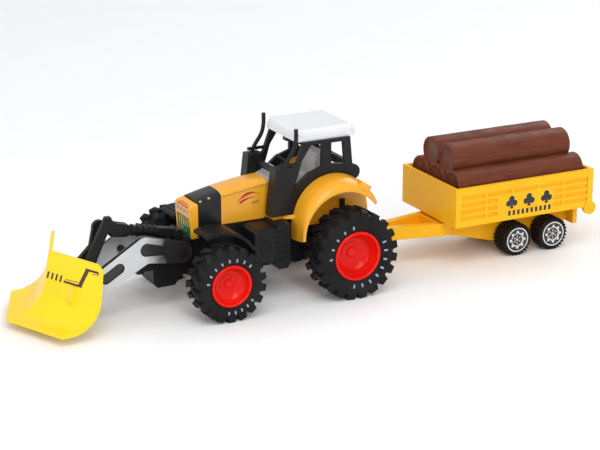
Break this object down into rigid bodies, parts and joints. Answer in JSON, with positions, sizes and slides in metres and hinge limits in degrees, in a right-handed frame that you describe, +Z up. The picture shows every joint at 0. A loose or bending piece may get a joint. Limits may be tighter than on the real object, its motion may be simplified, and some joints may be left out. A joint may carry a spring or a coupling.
{
  "type": "toy tractor with plough and log trailer",
  "caption": "Toy farm tractor with an open cab, a V plough on cranked loader arms, and a two-axle trailer carrying a stack of logs.",
  "frame": {"origin": "on the ground below the middle of the tractor's front axle", "axes": "+X forward towards the plough, +Y to the tractor's left, +Z up"},
  "size_m": [0.4056, 0.1054, 0.1078],
  "materials": {
    "yellow_paint": "gloss",
    "yellow_plastic": "gloss",
    "black_plastic": "satin",
    "white_plastic": "gloss",
    "pale_plastic": "satin",
    "red_plastic": "gloss",
    "tyre_rubber": "matte",
    "steel": "satin",
    "silver_arm": "satin",
    "yellow_blade": "gloss",
    "brown_load": "satin",
    "grille_green": "gloss"
  },
  "bodies": {
    "tractor": {"chassis": "black_plastic", "base_screws": "steel", "body_casting": "yellow_paint", "hood_band": "black_plastic", "nose": "yellow_plastic", "grille": "grille_green", "headlamps": "pale_plastic", "front_guard_left": "black_plastic", "front_guard_right": "black_plastic", "side_tank_left": "black_plastic", "side_tank_right": "black_plastic", "cab_frame": "black_plastic", "roof": "white_plastic", "cab_interior": "pale_plastic", "seat": "pale_plastic", "steering_wheel": "black_plastic", "side_pipe_left": "black_plastic", "side_pipe_right": "black_plastic", "loader_mount": "black_plastic", "boom_pivot_pin": "steel", "link_rear_pin": "steel", "tow_hook": "black_plastic"},
    "front_wheels": {"front_axle": "steel", "front_rim_left": "red_plastic", "front_rim_right": "red_plastic", "front_tyre_left": "tyre_rubber", "front_tyre_right": "tyre_rubber"},
    "rear_wheels": {"rear_axle": "steel", "rear_rim_left": "red_plastic", "rear_rim_right": "red_plastic", "rear_tyre_left": "tyre_rubber", "rear_tyre_right": "tyre_rubber"},
    "boom": {"loader_arm_left": "silver_arm", "loader_arm_right": "silver_arm", "boom_cross_tube": "black_plastic", "blade_pivot_pin": "steel"},
    "plough": {"blade": "yellow_blade", "blade_mast": "black_plastic", "mast_pin": "steel"},
    "link": {"tilt_link": "black_plastic"},
    "trailer": {"trailer_chassis": "yellow_plastic", "trailer_bed": "yellow_plastic", "tailgate_pins": "yellow_plastic", "trailer_screws": "steel"},
    "gate": {"tailgate": "yellow_plastic"},
    "load": {"log_load": "brown_load"},
    "trailer_front_wheels": {"trailer_front_axle": "steel", "trailer_front_rim_left": "black_plastic", "trailer_front_rim_right": "black_plastic", "trailer_front_tyre_left": "tyre_rubber", "trailer_front_tyre_right": "tyre_rubber"},
    "trailer_rear_wheels": {"trailer_rear_axle": "steel", "trailer_rear_rim_left": "black_plastic", "trailer_rear_rim_right": "black_plastic", "trailer_rear_tyre_left": "tyre_rubber", "trailer_rear_tyre_right": "tyre_rubber"}
  },
  "joints": [
    {"name": "front_axle_spin", "type": "hinge", "parent": "tractor", "child": "front_wheels", "pos_m": [0, 0, 0.0234], "axis": [0, 1, 0], "continuous": true},
    {"name": "rear_axle_spin", "type": "hinge", "parent": "tractor", "child": "rear_wheels", "pos_m": [-0.088, 0, 0.0285], "axis": [0, 1, 0], "continuous": true},
    {"name": "boom_lift", "type": "hinge", "parent": "tractor", "child": "boom", "pos_m": [0.0153, 0, 0.036], "axis": [0, -1, 0], "range_deg": [-3, 20]},
    {"name": "blade_tilt", "type": "hinge", "parent": "boom", "child": "plough", "pos_m": [0.0735, 0, 0.0226], "axis": [0, -1, 0], "range_deg": [-6, 1]},
    {"name": "link_swing", "type": "hinge", "parent": "tractor", "child": "link", "pos_m": [0.014, 0, 0.0453], "axis": [0, -1, 0], "range_deg": [-4, 23]},
    {"name": "trailer_yaw", "type": "hinge", "parent": "tractor", "child": "trailer", "pos_m": [-0.122, 0, 0.0213], "axis": [0, 0, 1], "range_deg": [-40, 40]},
    {"name": "tailgate_drop", "type": "hinge", "parent": "trailer", "child": "gate", "pos_m": [-0.275, 0, 0.0288], "axis": [0, -1, 0], "range_deg": [0, 90]},
    {"name": "load_lift", "type": "slide", "parent": "trailer", "child": "load", "axis": [0, 0, 1], "range_m": [0, 0.06]},
    {"name": "trailer_front_axle_spin", "type": "hinge", "parent": "trailer", "child": "trailer_front_wheels", "pos_m": [-0.2236, 0, 0.0112], "axis": [0, 1, 0], "continuous": true},
    {"name": "trailer_rear_axle_spin", "type": "hinge", "parent": "trailer", "child": "trailer_rear_wheels", "pos_m": [-0.2522, 0, 0.0112], "axis": [0, 1, 0], "continuous": true}
  ],
  "couplings": [
    {"joint": "blade_tilt", "follows": "boom_lift", "ratio": -0.267},
    {"joint": "link_swing", "follows": "boom_lift", "ratio": 1.105}
  ]
}
